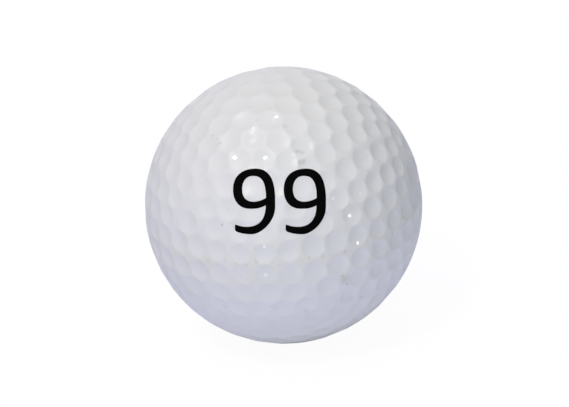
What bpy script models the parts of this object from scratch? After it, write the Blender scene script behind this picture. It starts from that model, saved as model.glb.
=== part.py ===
"""Golf ball in three layers, in metres: +Z runs through a pole, and the mould seam lies in the XY plane.

A solid rubber core sits in two mantle halves, and these sit in two dimpled cover halves. Both cover
halves have the same dimples: a hexagonal cap about the pole, then belts down to the seam.
"""

import cmath
import math
from collections import namedtuple

import bmesh
import bpy
from mathutils import Matrix, Vector
from mathutils.geometry import delaunay_2d_cdt

# Driving sizes, in metres
BALL_DIAMETER = 0.0427
COVER_WALL = 0.0016
MANTLE_WALL = 0.0015
LAYER_CLEARANCE = 0.0003
DIMPLE_DIAMETER = 0.00385
DIMPLE_DEPTH = 0.00034
DIMPLE_LAND = 0.0001

# Dimple layout, in degrees: the same in each of six sextants
SEXTANTS = 6
SEXTANT = 360 / SEXTANTS
PATTERN_TURN = 45.0
POLE_PITCH = 11.3
CAP_RINGS = 5
Belt = namedtuple("Belt", "latitude sway count spacing corner")
BELTS = (
    Belt(latitude=4.95, sway=0.6, count=6, spacing=10.0, corner=False),
    Belt(latitude=14.1, sway=0.2, count=4, spacing=10.7, corner=True),
    Belt(latitude=22.4, sway=-0.5, count=5, spacing=10.0, corner=False),
    Belt(latitude=31.6, sway=-1.9, count=5, spacing=12.0, corner=False),
)

# Facets of the round surfaces. Points nearer than SAME_POINT, in metres or in ball radii, count as one
RIM_SIDES = 8
SEAM_SIDES = 144
LAYER_SEGMENTS = 32
LAYER_RINGS = 16
SHARP_EDGE = 50.0
SAME_POINT = 1e-7

# Radii that follow from the driving sizes
BALL_RADIUS = BALL_DIAMETER / 2
COVER_BORE = BALL_RADIUS - COVER_WALL
MANTLE_RADIUS = COVER_BORE - LAYER_CLEARANCE
MANTLE_BORE = MANTLE_RADIUS - MANTLE_WALL
CORE_RADIUS = MANTLE_BORE - LAYER_CLEARANCE

# Colour, roughness and metallic value of each layer
COVER_WHITE = ((0.80, 0.80, 0.82, 1), 0.22, 0.0)
MANTLE_CREAM = ((0.72, 0.66, 0.52, 1), 0.45, 0.0)
CORE_TEAL = ((0.10, 0.30, 0.30, 1), 0.70, 0.0)


def clear_scene():
    for obj in list(bpy.data.objects):
        bpy.data.objects.remove(obj, do_unlink=True)


def collection(name):
    made = bpy.data.collections.new(name)
    bpy.context.scene.collection.children.link(made)
    return made


def material(name, finish):
    colour, roughness, metallic = finish
    made = bpy.data.materials.new(name)
    made.use_nodes = True
    shader = made.node_tree.nodes["Principled BSDF"]
    shader.inputs["Base Color"].default_value = colour
    shader.inputs["Roughness"].default_value = roughness
    shader.inputs["Metallic"].default_value = metallic
    return made


def direction(latitude, longitude):
    """The unit vector at a latitude and a longitude in degrees."""
    up = math.radians(latitude)
    round_pole = math.radians(longitude + PATTERN_TURN)
    return Vector((math.cos(up) * math.cos(round_pole), math.cos(up) * math.sin(round_pole), math.sin(up)))


def belt_dimples(belt):
    """Directions of one belt: a row about the middle of each sextant, and one at its corner if asked."""
    offsets = [(i - (belt.count - 1) / 2) * belt.spacing for i in range(belt.count)]
    if belt.corner:
        offsets.append(SEXTANT / 2)
    spots = []
    for sextant in range(SEXTANTS):
        for offset in offsets:
            longitude = (sextant + 0.5) * SEXTANT + offset
            latitude = belt.latitude + belt.sway * math.cos(math.radians(SEXTANTS * longitude))
            spots.append(direction(latitude, longitude))
    return spots


def cap_dimples():
    """Directions of the hexagonal cap: a flat triangular grid, laid on the ball by stereographic projection."""
    step = math.tan(math.radians(POLE_PITCH) / 2)
    spots = [direction(90, 0)]
    for ring in range(1, CAP_RINGS + 1):
        for side in range(SEXTANTS):
            corner = cmath.rect(ring, math.radians(side * SEXTANT))
            next_corner = cmath.rect(ring, math.radians((side + 1) * SEXTANT))
            for i in range(ring):
                point = corner + (next_corner - corner) * i / ring
                from_pole = math.degrees(2 * math.atan(abs(point) * step))
                spots.append(direction(90 - from_pole, math.degrees(cmath.phase(point))))
    return spots


def across(a, b):
    """The distance between two directions along the ball's surface."""
    return BALL_RADIUS * a.angle(b)


def dimples():
    """(direction, diameter) of each dimple on the upper half. Each is as wide as its nearest neighbour allows."""
    kept = []
    for spot in [spot for belt in BELTS for spot in belt_dimples(belt)] + cap_dimples():
        below_seam = Vector((spot.x, spot.y, -spot.z))
        room = min(across(spot, other) for other in kept + [below_seam])
        if spot.z > 0 and room > 2 * DIMPLE_LAND:
            kept.append(spot)
    sized = []
    for spot in kept:
        others = [other for other in kept if other is not spot]
        others.append(Vector((spot.x, spot.y, -spot.z)))
        nearest = min(across(spot, other) for other in others)
        sized.append((spot, min(DIMPLE_DIAMETER, nearest - DIMPLE_LAND)))
    return sized


def rim_points(spot, diameter):
    """Points round a dimple's edge, on the ball's surface."""
    half_angle = diameter / 2 / BALL_RADIUS
    to_spot = Vector((0, 0, 1)).rotation_difference(spot)
    rim = []
    for i in range(RIM_SIDES):
        turn = 2 * math.pi * i / RIM_SIDES
        flat = math.sin(half_angle)
        rim.append(to_spot @ Vector((flat * math.cos(turn), flat * math.sin(turn), math.cos(half_angle))))
    return rim


def seam_points():
    turns = [2 * math.pi * i / SEAM_SIDES for i in range(SEAM_SIDES)]
    return [Vector((math.cos(turn), math.sin(turn), 0)) for turn in turns]


def dimpled_dome():
    """A closed half ball with its dimples: rims, dimple floors and seam, joined by a Delaunay mesh."""
    directions = seam_points()
    radii = [BALL_RADIUS] * SEAM_SIDES
    rims = []
    for spot, diameter in dimples():
        rims.append(range(len(directions), len(directions) + RIM_SIDES))
        directions += rim_points(spot, diameter) + [spot]
        floor = BALL_RADIUS - DIMPLE_DEPTH * diameter / DIMPLE_DIAMETER
        radii += [BALL_RADIUS] * RIM_SIDES + [floor]
    rim_edges = [(rim[i - 1], rim[i]) for rim in rims for i in range(RIM_SIDES)]
    flat = [Vector((d.x, d.y)) / (1 + d.z) for d in directions]
    _, _, faces, sources, _, _ = delaunay_2d_cdt(flat, rim_edges, [], 0, SAME_POINT)
    dome = bmesh.new()
    verts = [dome.verts.new(directions[source[0]] * radii[source[0]]) for source in sources]
    for face in faces:
        dome.faces.new([verts[i] for i in face])
    return closed_below(dome)


def round_dome(radius):
    """A closed half ball with a smooth skin."""
    dome = bmesh.new()
    bmesh.ops.create_uvsphere(dome, u_segments=LAYER_SEGMENTS, v_segments=LAYER_RINGS, radius=radius)
    everything = dome.verts[:] + dome.edges[:] + dome.faces[:]
    bmesh.ops.bisect_plane(dome, geom=everything, dist=SAME_POINT, plane_no=(0, 0, 1), clear_inner=True)
    return closed_below(dome)


def closed_below(dome):
    """Fills the open seam of a dome, and turns all its faces outwards."""
    seam = [edge for edge in dome.edges if edge.is_boundary]
    bmesh.ops.holes_fill(dome, edges=seam, sides=0)
    bmesh.ops.recalc_face_normals(dome, faces=dome.faces)
    return dome


def mesh_from(shape, name, finish):
    mesh = bpy.data.meshes.new(name)
    shape.to_mesh(mesh)
    shape.free()
    mesh.materials.append(finish)
    mesh.shade_smooth()
    mesh.set_sharp_from_angle(angle=math.radians(SHARP_EDGE))
    return mesh


def ball_of(radius):
    ball = bmesh.new()
    bmesh.ops.create_uvsphere(ball, u_segments=LAYER_SEGMENTS, v_segments=LAYER_RINGS, radius=radius)
    return ball


def bore_cutter(name, radius, cutters, finish):
    """A ball that hollows out a layer. It isn't part of the object."""
    cutter = bpy.data.objects.new(name, mesh_from(ball_of(radius), name, finish))
    cutter.hide_render = True
    cutter.display_type = "WIRE"
    cutters.objects.link(cutter)
    return cutter


def half_shells(layer, dome, cutter, finish, centre, parts):
    """The two halves of a layer, out of one cavity: the lower is the upper one turned over its seam."""
    mesh = mesh_from(dome, layer, finish)
    turn_axis = direction(0, 0)
    for half, angle in (("upper", 0), ("lower", math.pi)):
        shell = bpy.data.objects.new(f"{layer}_{half}_half", mesh)
        shell.rotation_euler = Matrix.Rotation(angle, 3, turn_axis).to_euler()
        shell.parent = centre
        hollow = shell.modifiers.new("bore", "BOOLEAN")
        hollow.operation = "DIFFERENCE"
        hollow.solver = "EXACT"
        hollow.object = cutter
        parts.objects.link(shell)


def build():
    clear_scene()
    parts = collection("golf_ball")
    cutters = collection("cutters")
    centre = bpy.data.objects.new("ball_centre", None)
    parts.objects.link(centre)

    cover_white = material("cover_white", COVER_WHITE)
    cover_bore = bore_cutter("cover_bore", COVER_BORE, cutters, cover_white)
    half_shells("cover", dimpled_dome(), cover_bore, cover_white, centre, parts)

    mantle_cream = material("mantle_cream", MANTLE_CREAM)
    mantle_bore = bore_cutter("mantle_bore", MANTLE_BORE, cutters, mantle_cream)
    half_shells("mantle", round_dome(MANTLE_RADIUS), mantle_bore, mantle_cream, centre, parts)

    core_mesh = mesh_from(ball_of(CORE_RADIUS), "core", material("core_teal", CORE_TEAL))
    core = bpy.data.objects.new("core", core_mesh)
    core.parent = centre
    parts.objects.link(core)


build()
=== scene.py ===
"""Looks of a white golf ball, in metres: +Z runs through a pole, and the mould seam lies in the XY plane.

Two dimpled cover halves stand for the plain ones, and a printed play number lies on the upper half.
"""

import cmath
import math
from collections import namedtuple

import bmesh
import bpy
from mathutils import Matrix, Vector
from mathutils.geometry import delaunay_2d_cdt


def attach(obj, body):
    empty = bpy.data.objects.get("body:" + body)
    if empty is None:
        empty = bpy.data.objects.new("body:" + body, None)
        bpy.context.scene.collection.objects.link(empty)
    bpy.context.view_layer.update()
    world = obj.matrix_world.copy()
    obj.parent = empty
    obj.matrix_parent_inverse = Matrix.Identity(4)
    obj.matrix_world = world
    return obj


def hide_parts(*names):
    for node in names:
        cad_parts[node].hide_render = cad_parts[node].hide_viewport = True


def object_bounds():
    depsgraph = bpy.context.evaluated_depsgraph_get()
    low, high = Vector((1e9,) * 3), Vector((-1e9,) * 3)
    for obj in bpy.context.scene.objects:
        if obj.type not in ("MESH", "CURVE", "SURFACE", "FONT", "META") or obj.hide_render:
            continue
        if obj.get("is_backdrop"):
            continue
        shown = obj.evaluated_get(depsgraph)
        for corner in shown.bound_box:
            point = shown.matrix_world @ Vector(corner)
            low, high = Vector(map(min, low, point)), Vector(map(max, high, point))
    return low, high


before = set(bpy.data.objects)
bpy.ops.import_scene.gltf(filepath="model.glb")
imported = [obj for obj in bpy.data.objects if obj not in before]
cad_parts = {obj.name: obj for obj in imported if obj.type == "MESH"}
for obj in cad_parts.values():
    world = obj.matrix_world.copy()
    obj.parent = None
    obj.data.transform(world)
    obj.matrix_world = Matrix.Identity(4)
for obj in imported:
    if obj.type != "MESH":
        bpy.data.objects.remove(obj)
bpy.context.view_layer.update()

MM = 0.001

# Ball and dimples, as in the solids
BALL_RADIUS = 21.35 * MM
COVER_BORE = 19.75 * MM
DIMPLE_DIAMETER = 3.85 * MM
DIMPLE_DEPTH = 0.34 * MM
DIMPLE_LAND = 0.1 * MM

# Dimple layout, in degrees, as in the solids: the same in each of six sextants
SEXTANTS = 6
SEXTANT = 360 / SEXTANTS
PATTERN_TURN = 45.0
POLE_PITCH = 11.3
CAP_RINGS = 5
Belt = namedtuple("Belt", "latitude sway count spacing corner")
BELTS = (
    Belt(latitude=4.95, sway=0.6, count=6, spacing=10.0, corner=False),
    Belt(latitude=14.1, sway=0.2, count=4, spacing=10.7, corner=True),
    Belt(latitude=22.4, sway=-0.5, count=5, spacing=10.0, corner=False),
    Belt(latitude=31.6, sway=-1.9, count=5, spacing=12.0, corner=False),
)

# Rims of the dimples: how far they are rounded, and how far they keep off the ridge to the next dimple
RIM_ROUNDING = 0.2 * MM
RIDGE_GAP = 0.03 * MM

# Mesh of the dimpled skin. Bowl rings are shares of the way to the rounded rim, rim rings of its rounding
DIMPLE_SIDES = 36
BOWL_RINGS = (0.30, 0.55, 0.78)
RIM_RINGS = (-1.0, -0.4, 0.2, 1.0)
NEIGHBOUR_REACH = 2 * DIMPLE_DIAMETER
SEAM_SIDES = 288
LAND_PITCH = 0.6 * MM
LAND_MARGIN = 0.3 * MM
BORE_SEGMENTS = 72
SAME_POINT = 1e-7
SHARP_EDGE = math.radians(50)

# Play number: two plain nines, drawn in millimetres. Each row is a point, then its handles back and forth
NUMBER_PITCH = 7.57
NUMBER_CENTRE = (-0.62, 0.53)
NUMBER_SPREAD = 0.04
NUMBER_STEPS = 14
NUMBER_REACH = 8.0
NUMBER_SLICE = 0.2
OUTLINE_MERGE = 0.001
SLICE_MERGE = 0.01
NINE_OUTSIDE = (
    ((1.79, -0.52), (-0.05, -3.10), (-0.74, -0.34)),
    ((-0.55, -1.05), (1.30, 0.00), (-2.03, 0.00)),
    ((-3.11, 1.74), (0.00, -1.20), (0.00, 2.70)),
    ((0.25, 4.87), (-1.22, 0.00), (3.17, 0.00)),
    ((3.11, -0.86), (0.00, 1.57), (0.00, -2.14)),
    ((-0.32, -4.85), (1.32, 0.00), (-1.20, 0.00)),
    ((-2.46, -4.53), (0.50, -0.16), (-0.24, 0.08)),
    ((-2.83, -4.08), (0.00, -0.24), (0.00, 0.20)),
    ((-2.78, -3.48), (-0.05, -0.16), (0.45, -0.14)),
    ((-1.11, -3.81), (-0.88, 0.00), (0.97, 0.00)),
)
NINE_INSIDE = (
    ((1.82, 0.52), (-0.41, -0.30), (0.01, 3.20)),
    ((-0.21, 3.85), (0.80, 0.00), (-0.90, 0.00)),
    ((-1.82, 1.82), (0.00, 1.30), (0.00, -1.15)),
    ((-0.11, -0.07), (-1.10, 0.00), (0.75, 0.00)),
)
# The thickness of its ink, and how far in front of the ball's middle the sheet is held before it is laid on
NUMBER_FILM = 0.04 * MM
NUMBER_START = 1.5 * BALL_RADIUS

# Finishes, each with the colour that it varies to
PAINT = (0.80, 0.80, 0.81, 1)
DULLED_PAINT = (0.77, 0.77, 0.775, 1)
INK = (0.001, 0.001, 0.001, 1)
WORN_INK = (0.003, 0.003, 0.003, 1)
MANTLE = (0.74, 0.68, 0.54, 1)
DARKER_MANTLE = (0.68, 0.62, 0.48, 1)
CORE = (0.08, 0.27, 0.27, 1)
PALER_CORE = (0.14, 0.35, 0.34, 1)

# Soil and a yellow tint on the land, the tint partly yellowing and partly painted warm light: depths below
# the ball, and heights off the seam, where it starts and where it is full
YELLOWED_AND_WARM_LIT = (0.79, 0.78, 0.70, 1)
SOIL = (0.48, 0.46, 0.33, 1)
SEAM_LAND_DEPTH = (0.08 * MM, 0.01 * MM)
SEAM_LAND_HEIGHT = (5 * MM, 1.5 * MM)

# Single marks: the place as the camera sees it and the reach, in millimetres, then strength and colour
SMUDGE = (0.40, 0.40, 0.42, 1)
# White of chips worn down to the bare cover, and of painted glints
BARE_AND_GLINT = (1.0, 1.0, 1.0, 1)
Mark = namedtuple("Mark", "right up reach strength colour")
MARKS = (
    Mark(9.2, -11.2, 1.30, 0.22, SOIL),
    Mark(8.8, -10.7, 0.40, 0.25, SOIL),
    Mark(9.1, -11.3, 0.40, 0.30, SOIL),
    Mark(9.6, -11.9, 0.35, 0.35, SOIL),
    Mark(-9.6, 9.3, 0.50, 0.35, SOIL),
    Mark(-9.9, 10.0, 0.40, 0.25, SOIL),
    Mark(0.2, 11.9, 0.60, 0.15, SOIL),
    Mark(9.2, -7.0, 0.40, 0.30, SOIL),
    Mark(5.8, -7.7, 0.45, 0.20, SOIL),
    Mark(3.8, -7.9, 0.40, 0.20, SOIL),
    Mark(-4.2, -6.5, 0.40, 0.20, SOIL),
    Mark(11.6, -14.1, 0.50, 0.30, SOIL),
    Mark(-10.7, 10.4, 0.40, 0.25, SMUDGE),
    Mark(-9.3, -3.0, 0.38, 0.45, SMUDGE),
    Mark(16.4, -4.3, 0.35, 0.35, SMUDGE),
    Mark(-5.2, 14.8, 0.45, 0.12, SMUDGE),
    Mark(-2.1, 14.5, 0.45, 0.12, SMUDGE),
    Mark(-4.0, 12.7, 0.40, 0.15, SMUDGE),
    Mark(-8.9, -15.5, 0.70, 0.15, SMUDGE),
    Mark(-1.7, -15.3, 0.60, 0.12, SMUDGE),
    Mark(3.4, -16.0, 0.70, 0.15, SMUDGE),
    Mark(1.5, 9.3, 0.70, 0.10, SMUDGE),
    Mark(2.1, 8.1, 0.60, 0.35, SMUDGE),
    Mark(2.8, 8.0, 0.60, 0.28, SMUDGE),
    Mark(2.4, 6.4, 0.50, 0.35, SMUDGE),
    Mark(3.1, 6.4, 0.50, 0.35, SMUDGE),
    Mark(4.0, 9.2, 0.50, 0.40, BARE_AND_GLINT),
    Mark(4.1, 8.6, 0.50, 0.35, BARE_AND_GLINT),
    Mark(1.5, 7.6, 0.50, 0.35, BARE_AND_GLINT),
    # These last four white spots are painted glints, small highlights put into the colour, not chips
    Mark(7.4, 1.0, 0.40, 0.70, BARE_AND_GLINT),
    Mark(11.5, 1.7, 0.45, 0.80, BARE_AND_GLINT),
    Mark(-2.9, -6.2, 0.45, 1.0, BARE_AND_GLINT),
    Mark(-2.65, -10.65, 0.50, 1.0, BARE_AND_GLINT),
)
# Small polished nicks that catch the light: place and reach, as for marks
Nick = namedtuple("Nick", "right up reach")
NICKS = (
    Nick(-7.35, 7.2, 0.45),
    Nick(-2.8, 7.15, 0.45),
    Nick(-1.1, 13.3, 0.35),
    Nick(-4.6, 11.6, 0.25),
    Nick(10.0, -1.55, 0.65),
    Nick(11.2, -5.7, 0.45),
)
# The share of its reach in which a mark or nick has its full strength
FULL_SHARE = 0.3

# Camera, as in the photograph: degrees, millimetres of lens and sensor, and shares of the frame's width
CAMERA_ELEVATION = 23.94
CAMERA_ROLL = -6.17
CAMERA_DISTANCE = 30.7 * BALL_RADIUS
CAMERA_LENS = 269.3
CAMERA_SENSOR = 36
CAMERA_SHIFT = (0.0016, 0.0027)
CAMERA_NEAR = 10 * MM

# Floor, with a faint glow that fades in between two distances from the ball's foot
FLOOR_SIZE = 6
FLOOR_COLOUR = (0.80, 0.81, 0.88, 1)
FLOOR_GLOW = (0.0, 0.0, 0.108, 1)
FLOOR_FADE = (8 * MM, 30 * MM)

# Background, where a strength of 1 is white: its share in what the camera sees, and in reflections
FLOOR_WHITE = 1.035
FLOOR_TO_CAMERA = 0.92
SKY_TO_CAMERA = 1.0
WHITE_OFF_GLOSS = 0.3

# Glows in the sky: a direction as the camera sees it, and the cosines to it where the glow starts and is full
Glow = namedtuple("Glow", "right up towards start full colour")
BACK_GLOW = Glow(0, 0.3, -1, 0.5, 0.95, (0.80, 0.80, 1.05, 1))
TOP_GLOW = Glow(0.5, 0.85, -0.1, -0.2, 0.5, (0.265, 0.285, 0.226, 1))

# Round lamps: a direction as the camera sees it, the diameter in metres, the radiance and the colour
LAMP_DISTANCE = 0.9
Lamp = namedtuple("Lamp", "name right up towards diameter radiance colour")
LAMPS = (
    Lamp("key_lamp", -0.45, 0.55, 0.70, 0.5, 1.7, (0.99, 1.0, 0.86)),
    Lamp("top_lamp", 0.0, 0.95, 0.30, 0.5, 1.73, (0.84, 0.80, 1.0)),
    Lamp("low_lamp", -0.1, -0.35, 0.93, 0.5, 4.34, (0.86, 0.90, 1.0)),
    Lamp("main_lamp", -0.34, 0.527, 0.785, 0.16, 33.5, (1.0, 0.98, 0.835)),
    Lamp("upper_lamp", -0.36, 0.83, 0.43, 0.2, 18.3, (0.80, 0.745, 1.0)),
    Lamp("right_spark", 0.895, -0.09, 0.44, 0.10, 3.0, (1, 1, 1)),
)


def camera_turn():
    """The camera's axes: X to the right, Y up and Z towards the viewer."""
    tilt = Matrix.Rotation(math.radians(90 - CAMERA_ELEVATION), 3, "X")
    return tilt @ Matrix.Rotation(math.radians(CAMERA_ROLL), 3, "Z")


def seen(right, up, towards):
    """A direction given as the camera sees it."""
    return camera_turn() @ Vector((right, up, towards))


def on_ball(right, up):
    """The point of the ball's near side that lies so far right and up of its middle."""
    return seen(right, up, math.sqrt(BALL_RADIUS ** 2 - right ** 2 - up ** 2))


# Dimple layout

def direction(latitude, longitude):
    """The unit vector at a latitude and a longitude in degrees."""
    up = math.radians(latitude)
    round_pole = math.radians(longitude + PATTERN_TURN)
    return Vector((math.cos(up) * math.cos(round_pole), math.cos(up) * math.sin(round_pole), math.sin(up)))


def belt_dimples(belt):
    """Directions of one belt: a row about the middle of each sextant, and one at its corner if asked."""
    offsets = [(i - (belt.count - 1) / 2) * belt.spacing for i in range(belt.count)]
    if belt.corner:
        offsets.append(SEXTANT / 2)
    spots = []
    for sextant in range(SEXTANTS):
        for offset in offsets:
            longitude = (sextant + 0.5) * SEXTANT + offset
            latitude = belt.latitude + belt.sway * math.cos(math.radians(SEXTANTS * longitude))
            spots.append(direction(latitude, longitude))
    return spots


def cap_dimples():
    """Directions of the hexagonal cap: a flat triangular grid, laid on the ball stereographically."""
    step = math.tan(math.radians(POLE_PITCH) / 2)
    spots = [direction(90, 0)]
    for ring in range(1, CAP_RINGS + 1):
        for side in range(SEXTANTS):
            corner = cmath.rect(ring, math.radians(side * SEXTANT))
            next_corner = cmath.rect(ring, math.radians((side + 1) * SEXTANT))
            for i in range(ring):
                point = corner + (next_corner - corner) * i / ring
                from_pole = math.degrees(2 * math.atan(abs(point) * step))
                spots.append(direction(90 - from_pole, math.degrees(cmath.phase(point))))
    return spots


def across(a, b):
    """The distance between two directions along the ball's surface."""
    return BALL_RADIUS * a.angle(b)


def below_seam(spot):
    """The mirror image of a direction across the seam."""
    return Vector((spot.x, spot.y, -spot.z))


def dimples():
    """(direction, diameter) of each dimple on the upper half, as wide as its nearest neighbour allows."""
    kept = []
    belts = [spot for belt in BELTS for spot in belt_dimples(belt)]
    for spot in belts + cap_dimples():
        room = min(across(spot, other) for other in kept + [below_seam(spot)])
        if spot.z > 0 and room > 2 * DIMPLE_LAND:
            kept.append(spot)
    sized = []
    for spot in kept:
        others = [other for other in kept if other is not spot]
        nearest = min(across(spot, other) for other in others + [below_seam(spot)])
        sized.append((spot, min(DIMPLE_DIAMETER, nearest - DIMPLE_LAND)))
    return sized


# Shaping

def select_only(*objs):
    bpy.ops.object.select_all(action="DESELECT")
    for obj in objs:
        obj.select_set(True)
    bpy.context.view_layer.objects.active = objs[0]


def apply_modifier(obj, modifier):
    select_only(obj)
    bpy.ops.object.modifier_apply(modifier=modifier.name)


def depth_at(distance, diameter):
    """Depth below the ball at a distance from a dimple's middle: a round bowl with a softened rim."""
    floor = DIMPLE_DEPTH * diameter / DIMPLE_DIAMETER
    bowl = floor * (1 - (2 * distance / diameter) ** 2)
    soft = 4 * floor / diameter * RIM_ROUNDING
    if bowl > soft:
        return bowl
    return max(0, bowl + soft) ** 2 / (4 * soft)


def dimple_rings(spot, diameter, others):
    """Rings of points from a dimple's outer edge to near its middle, then the middle itself.

    No ring crosses the ridge halfway to another dimple.
    """
    to_spot = Vector((0, 0, 1)).rotation_difference(spot)
    radius = diameter / 2
    distances = [radius + share * RIM_ROUNDING for share in reversed(RIM_RINGS)]
    distances += [share * (radius - RIM_ROUNDING) for share in reversed(BOWL_RINGS)]
    rings = [[] for _ in distances]
    for i in range(DIMPLE_SIDES):
        turn = 2 * math.pi * i / DIMPLE_SIDES
        outwards = to_spot @ Vector((math.cos(turn), math.sin(turn), 0))
        ridges = [math.atan2(1 - spot.dot(other), max(0, outwards.dot(other))) for other in others]
        room = BALL_RADIUS * min(ridges) - RIDGE_GAP
        squeeze = min(1, room / distances[0])
        for ring, distance in zip(rings, distances):
            angle = squeeze * distance / BALL_RADIUS
            from_centre = BALL_RADIUS - depth_at(squeeze * distance, diameter)
            ring.append((spot * math.cos(angle) + outwards * math.sin(angle)) * from_centre)
    return rings, spot * (BALL_RADIUS - depth_at(0, diameter))


def land_points(sized):
    """Evenly spread points on the bare land between the dimples."""
    area_each = LAND_PITCH ** 2 / BALL_RADIUS ** 2
    count = round(2 * math.pi / area_each)
    golden = math.pi * (3 - math.sqrt(5))
    points = []
    for i in range(count):
        up = (i + 0.5) / count
        flat = math.sqrt(1 - up * up)
        point = Vector((flat * math.cos(golden * i), flat * math.sin(golden * i), up))
        clear = min(across(point, spot) - diameter / 2 for spot, diameter in sized)
        if clear > LAND_MARGIN and BALL_RADIUS * up > LAND_MARGIN:
            points.append(point * BALL_RADIUS)
    return points


def flat_map(point):
    """The upper half laid flat, seen from the lower pole."""
    return Vector((point.x, point.y)) / (point.length + point.z)


def closed_loop(start, count):
    """Edges that join numbered points into a ring."""
    return [(start + i - 1, start + i) for i in range(1, count)] + [(start + count - 1, start)]


def dimpled_skin():
    """The upper half's outside: a ring mesh in each dimple, and a Delaunay mesh on the land between."""
    sized = dimples()
    turns = [2 * math.pi * i / SEAM_SIDES for i in range(SEAM_SIDES)]
    points = [Vector((math.cos(turn), math.sin(turn), 0)) * BALL_RADIUS for turn in turns]
    points += land_points(sized)
    owner = [None] * len(points)
    edges = closed_loop(0, SEAM_SIDES)
    dents = []
    for number, (spot, diameter) in enumerate(sized):
        others = [other for other, _ in sized if other is not spot]
        near = [other for other in others if across(spot, other) < NEIGHBOUR_REACH]
        rings, middle = dimple_rings(spot, diameter, near + [below_seam(spot)])
        start = len(points)
        points += rings[0]
        owner += [number] * DIMPLE_SIDES
        edges += closed_loop(start, DIMPLE_SIDES)
        dents.append((start, rings, middle))
    _, _, faces, sources, _, _ = delaunay_2d_cdt([flat_map(p) for p in points], edges, [], 0, SAME_POINT)
    skin = bmesh.new()
    verts = [skin.verts.new(point) for point in points]
    for face in faces:
        corners = [sources[i][0] for i in face]
        owners = {owner[i] for i in corners}
        if None in owners or len(owners) > 1:
            skin.faces.new([verts[i] for i in corners])
    for start, rings, middle in dents:
        outer = verts[start:start + DIMPLE_SIDES]
        for ring in rings[1:]:
            inner = [skin.verts.new(point) for point in ring]
            for i in range(DIMPLE_SIDES):
                skin.faces.new((outer[i - 1], outer[i], inner[i], inner[i - 1]))
            outer = inner
        tip = skin.verts.new(middle)
        for i in range(DIMPLE_SIDES):
            skin.faces.new((outer[i - 1], outer[i], tip))
    bmesh.ops.recalc_face_normals(skin, faces=skin.faces)
    return skin


def half_bore():
    """The smooth inside of the upper half: half a sphere that faces its own middle."""
    rings = BORE_SEGMENTS // 2
    bpy.ops.mesh.primitive_uv_sphere_add(segments=BORE_SEGMENTS, ring_count=rings, radius=COVER_BORE)
    bore = bpy.context.object
    bpy.ops.object.mode_set(mode="EDIT")
    bpy.ops.mesh.select_all(action="SELECT")
    bpy.ops.mesh.bisect(plane_co=(0, 0, 0), plane_no=(0, 0, 1), clear_inner=True)
    bpy.ops.mesh.select_all(action="SELECT")
    bpy.ops.mesh.flip_normals()
    bpy.ops.object.mode_set(mode="OBJECT")
    return bore


def upper_cover():
    """The dimpled skin, closed along the seam on to the smooth bore."""
    mesh = bpy.data.meshes.new("upper_cover")
    skin = dimpled_skin()
    skin.to_mesh(mesh)
    skin.free()
    cover = bpy.data.objects.new("upper_cover", mesh)
    bpy.context.scene.collection.objects.link(cover)

    select_only(cover)
    bore = half_bore()
    select_only(cover, bore)
    bpy.ops.object.join()
    bpy.ops.object.mode_set(mode="EDIT")
    bpy.ops.mesh.select_mode(type="EDGE")
    bpy.ops.mesh.select_all(action="DESELECT")
    bpy.ops.mesh.select_non_manifold()
    bpy.ops.mesh.bridge_edge_loops()
    bpy.ops.mesh.select_all(action="SELECT")
    bpy.ops.mesh.normals_make_consistent(inside=False)
    bpy.ops.object.mode_set(mode="OBJECT")
    select_only(cover)
    bpy.ops.object.shade_smooth_by_angle(angle=SHARP_EDGE)
    return cover


def turned_over(cover):
    """The lower half: a copy of the upper one, turned over about an axis in the seam."""
    select_only(cover)
    bpy.ops.object.duplicate()
    lower = bpy.context.object
    lower.name = "lower_cover"
    lower.data.name = "lower_cover"
    lower.matrix_world = Matrix.Rotation(math.pi, 4, direction(0, 0))
    bpy.ops.object.transform_apply(location=True, rotation=True, scale=True)
    return lower


def nine_outline(curve, rows, offset):
    """Adds one closed outline of a nine to a curve."""
    spline = curve.splines.new("BEZIER")
    spline.bezier_points.add(len(rows) - 1)
    spline.use_cyclic_u = True
    for point, (place, back, forth) in zip(spline.bezier_points, rows):
        at = Vector((place[0] + offset, place[1], 0))
        point.handle_left_type = "FREE"
        point.handle_right_type = "FREE"
        point.co = at
        point.handle_left = at + Vector((back[0], back[1], 0))
        point.handle_right = at + Vector((forth[0], forth[1], 0))


def cut_across(axis):
    """Cuts the sheet in edit mode into strips across one axis."""
    place = -NUMBER_REACH + NUMBER_SLICE
    while place < NUMBER_REACH:
        bpy.ops.mesh.select_all(action="SELECT")
        plane = [0.0, 0.0, 0.0]
        plane[axis] = place
        normal = [0.0, 0.0, 0.0]
        normal[axis] = 1.0
        bpy.ops.mesh.bisect(plane_co=plane, plane_no=normal)
        place += NUMBER_SLICE


def flat_number():
    """Two nines as a flat sheet in millimetres, cut small so that it can follow the dimples."""
    curve = bpy.data.curves.new("play_number", "CURVE")
    curve.dimensions = "2D"
    curve.fill_mode = "BOTH"
    curve.offset = NUMBER_SPREAD
    curve.resolution_u = NUMBER_STEPS
    for offset in (-NUMBER_PITCH / 2, NUMBER_PITCH / 2):
        nine_outline(curve, NINE_OUTSIDE, offset)
        nine_outline(curve, NINE_INSIDE, offset)
    number = bpy.data.objects.new("play_number", curve)
    bpy.context.scene.collection.objects.link(number)
    select_only(number)
    bpy.ops.object.convert(target="MESH")
    number = bpy.context.object
    bpy.ops.object.mode_set(mode="EDIT")
    bpy.ops.mesh.select_all(action="SELECT")
    bpy.ops.mesh.remove_doubles(threshold=OUTLINE_MERGE)
    bpy.ops.mesh.normals_make_consistent(inside=False)
    for axis in (0, 1):
        cut_across(axis)
    bpy.ops.mesh.select_all(action="SELECT")
    bpy.ops.mesh.remove_doubles(threshold=SLICE_MERGE)
    bpy.ops.mesh.quads_convert_to_tris()
    bpy.ops.object.mode_set(mode="OBJECT")
    if number.data.polygons[0].normal.z < 0:
        number.data.flip_normals()
    return number


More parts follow.
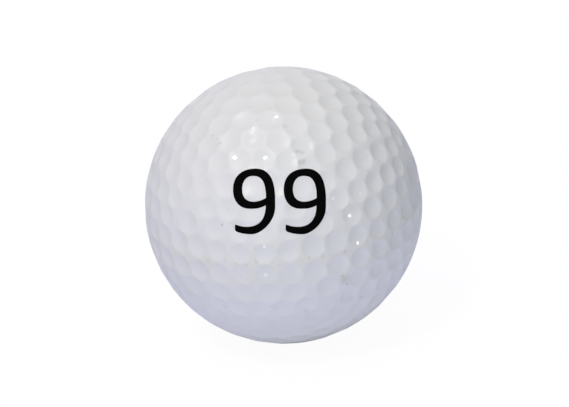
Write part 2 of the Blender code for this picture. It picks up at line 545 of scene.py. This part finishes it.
def play_number(cover):
    """The flat number, laid on to the dimples from the front and given the ink's thickness."""
    number = flat_number()
    at = seen(NUMBER_CENTRE[0] * MM, NUMBER_CENTRE[1] * MM, NUMBER_START)
    number.matrix_world = Matrix.LocRotScale(at, camera_turn(), (MM, MM, MM))
    select_only(number)
    bpy.ops.object.transform_apply(location=False, rotation=False, scale=True)
    laid = number.modifiers.new("laid_on", "SHRINKWRAP")
    laid.target = cover
    laid.wrap_method = "PROJECT"
    laid.use_project_z = True
    laid.use_negative_direction = True
    laid.use_positive_direction = False
    apply_modifier(number, laid)
    film = number.modifiers.new("film", "SOLIDIFY")
    film.thickness = NUMBER_FILM
    film.offset = 0
    apply_modifier(number, film)
    bpy.ops.object.transform_apply(location=True, rotation=True, scale=True)
    bpy.ops.object.shade_smooth_by_angle(angle=SHARP_EDGE)
    return number


# Finishes

class Nodes:
    """A shader's node tree, and the nodes that this scene puts in one."""

    def __init__(self, tree):
        self.nodes = tree.nodes
        self.links = tree.links

    def add(self, kind, **settings):
        node = self.nodes.new(kind)
        for name, value in settings.items():
            setattr(node, name, value)
        return node

    def feed(self, socket, value):
        """Links a socket to another, or sets it to a number or colour."""
        if isinstance(value, bpy.types.NodeSocket):
            self.links.new(value, socket)
        else:
            socket.default_value = value

    def fill(self, node, **values):
        """Feeds a node's sockets by name, with _ for a space."""
        for name, value in values.items():
            self.feed(node.inputs[name.replace("_", " ")], value)
        return node

    def chain(self, node, *values):
        """Feeds a node's sockets in their order."""
        for socket, value in zip(node.inputs, values):
            self.feed(socket, value)
        return node

    def maths(self, operation, *values):
        return self.chain(self.add("ShaderNodeMath", operation=operation), *values).outputs[0]

    def vectors(self, operation, *values):
        return self.chain(self.add("ShaderNodeVectorMath", operation=operation), *values).outputs

    def ramp(self, value, low, high, to_low=0.0, to_high=1.0):
        node = self.add("ShaderNodeMapRange", interpolation_type="SMOOTHSTEP")
        self.fill(node, Value=value, From_Min=low, From_Max=high, To_Min=to_low, To_Max=to_high)
        return node.outputs["Result"]

    def shader(self, kind, **values):
        return self.fill(self.add(kind), **values).outputs[0]

    def both(self, shader, other):
        return self.chain(self.add("ShaderNodeAddShader"), shader, other).outputs[0]


class Finish(Nodes):
    """A node material around one Principled shader."""

    def __init__(self, name):
        self.material = bpy.data.materials.new(name)
        self.material.use_nodes = True
        super().__init__(self.material.node_tree)
        self.principled = self.nodes["Principled BSDF"]
        self.place = self.add("ShaderNodeTexCoord").outputs["Object"]

    def set(self, **values):
        self.fill(self.principled, **values)

    def noise(self, scale, detail=3.0, roughness=0.5, output="Fac"):
        node = self.add("ShaderNodeTexNoise")
        self.fill(node, Vector=self.place, Scale=scale, Detail=detail, Roughness=roughness)
        return node.outputs[output]

    def mix(self, share, a, b):
        node = self.add("ShaderNodeMix", data_type="RGBA")
        return self.fill(node, Factor=share, A=a, B=b).outputs["Result"]

    def bump(self, height, depth, strength):
        node = self.add("ShaderNodeBump")
        self.fill(node, Height=height, Distance=depth, Strength=strength)
        self.set(Normal=node.outputs["Normal"])

    def ragged(self, scale, shift):
        """The place on the object, moved about by noise, so that what is drawn by it gets ragged edges."""
        noise = self.noise(scale, detail=2.0, output="Color")
        centred = self.vectors("SUBTRACT", noise, (0.5, 0.5, 0.5))["Vector"]
        return self.vectors("MULTIPLY_ADD", centred, (shift, shift, shift), self.place)["Vector"]

    def near(self, place, spot, reach, strength):
        """A strength that falls to nothing at a distance from a spot."""
        distance = self.vectors("DISTANCE", place, spot)["Value"]
        return self.ramp(distance, FULL_SHARE * reach, reach, to_low=strength, to_high=0)

    def from_centre(self):
        return self.vectors("LENGTH", self.place)["Value"]

    def height(self):
        return self.chain(self.add("ShaderNodeSeparateXYZ"), self.place).outputs["Z"]


def cover_white():
    """White paint, soiled on the land round the seam and tinted yellow there, partly as yellowing and partly
    as painted warm light, with single marks of wear and white spots that are painted glints.
    """
    finish = Finish("cover_white")
    colour = finish.mix(finish.noise(scale=160, detail=4), PAINT, DULLED_PAINT)
    land = finish.ramp(finish.from_centre(), BALL_RADIUS - SEAM_LAND_DEPTH[0], BALL_RADIUS - SEAM_LAND_DEPTH[1])
    from_seam = finish.maths("ABSOLUTE", finish.height())
    low_land = finish.maths("MULTIPLY", land, finish.ramp(from_seam, *SEAM_LAND_HEIGHT))
    # Yellow patches on the land near the seam: partly yellowing, partly painted warm light on the land
    # against the bowls' bluish shade
    yellowing_and_warm_light = finish.ramp(finish.noise(scale=180, detail=4, roughness=0.6), 0.32, 0.58, to_high=0.5)
    colour = finish.mix(finish.maths("MULTIPLY", low_land, yellowing_and_warm_light), colour, YELLOWED_AND_WARM_LIT)
    specks = finish.ramp(finish.noise(scale=1100, roughness=0.6), 0.60, 0.71, to_high=0.25)
    colour = finish.mix(finish.maths("MULTIPLY", low_land, specks), colour, SOIL)
    strewn = finish.ramp(finish.noise(scale=1500, detail=2), 0.70, 0.80, to_high=0.2)
    colour = finish.mix(strewn, colour, SOIL)
    ragged = finish.ragged(scale=1200, shift=0.6 * MM)
    # Marks of soil, smudges and chips, and white spots that are painted glints
    for mark in MARKS:
        spot = on_ball(mark.right * MM, mark.up * MM)
        share = finish.near(ragged, spot, mark.reach * MM, mark.strength)
        colour = finish.mix(share, colour, mark.colour)
    polish = 0.0
    for nick in NICKS:
        spot = on_ball(nick.right * MM, nick.up * MM)
        polish = finish.maths("MAXIMUM", finish.near(ragged, spot, nick.reach * MM, 1.0), polish)
    matt = finish.ramp(finish.noise(scale=400, detail=5), 0.3, 0.7, to_low=0.45, to_high=0.55)
    finish.set(Base_Color=finish.mix(polish, colour, BARE_AND_GLINT), Metallic=polish)
    finish.set(Roughness=finish.ramp(polish, 0, 1, to_low=matt, to_high=0.15))
    finish.set(IOR=1.5, Specular_IOR_Level=0.12, Coat_Weight=0.15, Coat_Roughness=0.1)
    finish.bump(finish.noise(scale=1800), depth=0.01 * MM, strength=0.25)
    return finish.material


def number_black():
    """Dull black ink."""
    finish = Finish("number_black")
    finish.set(Base_Color=finish.mix(finish.noise(scale=900, detail=4), INK, WORN_INK))
    finish.set(Roughness=finish.ramp(finish.noise(scale=700), 0.3, 0.7, to_low=0.6, to_high=0.75))
    finish.set(IOR=1.5, Specular_IOR_Level=0.02)
    return finish.material


def mantle_cream():
    """Smooth moulded plastic."""
    finish = Finish("mantle_cream")
    finish.set(Base_Color=finish.mix(finish.noise(scale=220, detail=4), MANTLE, DARKER_MANTLE))
    finish.set(Roughness=finish.ramp(finish.noise(scale=600), 0.3, 0.7, to_low=0.38, to_high=0.52))
    finish.bump(finish.noise(scale=1500), depth=0.02 * MM, strength=0.3)
    return finish.material


def core_teal():
    """Dull, grainy rubber."""
    finish = Finish("core_teal")
    grain = finish.noise(scale=500, detail=6, roughness=0.65)
    finish.set(Base_Color=finish.mix(grain, CORE, PALER_CORE))
    dull = finish.noise(scale=900, detail=4)
    finish.set(Roughness=finish.ramp(dull, 0.3, 0.7, to_low=0.62, to_high=0.82))
    finish.bump(finish.noise(scale=2500, detail=4), depth=0.03 * MM, strength=0.4)
    return finish.material


def painted(obj, material):
    obj.data.materials.clear()
    obj.data.materials.append(material)


# Stage

def send_out(tree, lit, white, to_camera, output):
    """Sends a mix of lit surface and plain white to the output.

    White has one share for the camera, and one off gloss or through something clear.
    """
    path = tree.add("ShaderNodeLightPath").outputs
    either = tree.maths("MAXIMUM", path["Is Glossy Ray"], path["Is Transmission Ray"])
    off_gloss = tree.maths("MULTIPLY", either, WHITE_OFF_GLOSS)
    share = tree.maths("MULTIPLY_ADD", path["Is Camera Ray"], to_camera, off_gloss)
    mix = tree.chain(tree.add("ShaderNodeMixShader"), share, lit, white)
    tree.fill(tree.add(output), Surface=mix.outputs[0])


def studio_floor(height):
    bpy.ops.mesh.primitive_plane_add(size=FLOOR_SIZE, location=(0, 0, height))
    floor = bpy.context.object
    floor.name = "studio_floor"
    material = bpy.data.materials.new("studio_floor")
    material.use_nodes = True
    tree = Nodes(material.node_tree)
    tree.nodes.clear()
    place = tree.add("ShaderNodeTexCoord").outputs["Object"]
    fade = tree.ramp(tree.vectors("LENGTH", place)["Value"], *FLOOR_FADE)
    matt = tree.shader("ShaderNodeBsdfDiffuse", Color=FLOOR_COLOUR)
    glow = tree.shader("ShaderNodeEmission", Color=FLOOR_GLOW, Strength=fade)
    white = tree.shader("ShaderNodeEmission", Strength=FLOOR_WHITE)
    send_out(tree, tree.both(matt, glow), white, FLOOR_TO_CAMERA, "ShaderNodeOutputMaterial")
    painted(floor, material)
    floor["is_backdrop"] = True


def sky_glow(tree, glow):
    """Light from the sky that grows from nothing to its full colour as a ray turns towards a direction."""
    ray = tree.add("ShaderNodeTexCoord").outputs["Generated"]
    towards = seen(glow.right, glow.up, glow.towards).normalized()
    facing = tree.vectors("DOT_PRODUCT", ray, towards)["Value"]
    strength = tree.ramp(facing, glow.start, glow.full)
    return tree.shader("ShaderNodeBackground", Color=glow.colour, Strength=strength)


def studio_sky():
    world = bpy.data.worlds.new("studio")
    bpy.context.scene.world = world
    world.use_nodes = True
    tree = Nodes(world.node_tree)
    tree.nodes.clear()
    glows = tree.both(sky_glow(tree, BACK_GLOW), sky_glow(tree, TOP_GLOW))
    white = tree.shader("ShaderNodeBackground", Color=(1, 1, 1, 1))
    send_out(tree, glows, white, SKY_TO_CAMERA, "ShaderNodeOutputWorld")


def round_lamp(lamp):
    """A disc lamp that faces the ball."""
    towards = seen(lamp.right, lamp.up, lamp.towards)
    data = bpy.data.lights.new(lamp.name, "AREA")
    data.shape = "DISK"
    data.size = lamp.diameter
    data.color = lamp.colour
    data.energy = lamp.radiance * math.pi * math.pi * lamp.diameter ** 2 / 4
    obj = bpy.data.objects.new(lamp.name, data)
    obj.location = towards.normalized() * LAMP_DISTANCE
    obj.rotation_euler = towards.to_track_quat("Z", "Y").to_euler()
    bpy.context.scene.collection.objects.link(obj)


def photograph_camera():
    data = bpy.data.cameras.new("camera")
    data.sensor_width = CAMERA_SENSOR
    data.lens = CAMERA_LENS
    data.shift_x = CAMERA_SHIFT[0]
    data.shift_y = CAMERA_SHIFT[1]
    data.clip_start = CAMERA_NEAR
    camera = bpy.data.objects.new("camera", data)
    camera.matrix_world = Matrix.LocRotScale(seen(0, 0, CAMERA_DISTANCE), camera_turn(), None)
    bpy.context.scene.collection.objects.link(camera)
    bpy.context.scene.camera = camera


upper = upper_cover()
lower = turned_over(upper)
number = play_number(upper)

paint = cover_white()
for cover, node in ((upper, "cover_upper_half"), (lower, "cover_lower_half")):
    painted(cover, paint)
    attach(cover, "root")
    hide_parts(node)
painted(number, number_black())
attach(number, "root")

cream = mantle_cream()
for node in ("mantle_upper_half", "mantle_lower_half"):
    painted(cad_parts[node], cream)
painted(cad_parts["core"], core_teal())

studio_floor(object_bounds()[0].z)
studio_sky()
for lamp in LAMPS:
    round_lamp(lamp)
photograph_camera()
bpy.context.scene.view_settings.view_transform = "Standard"
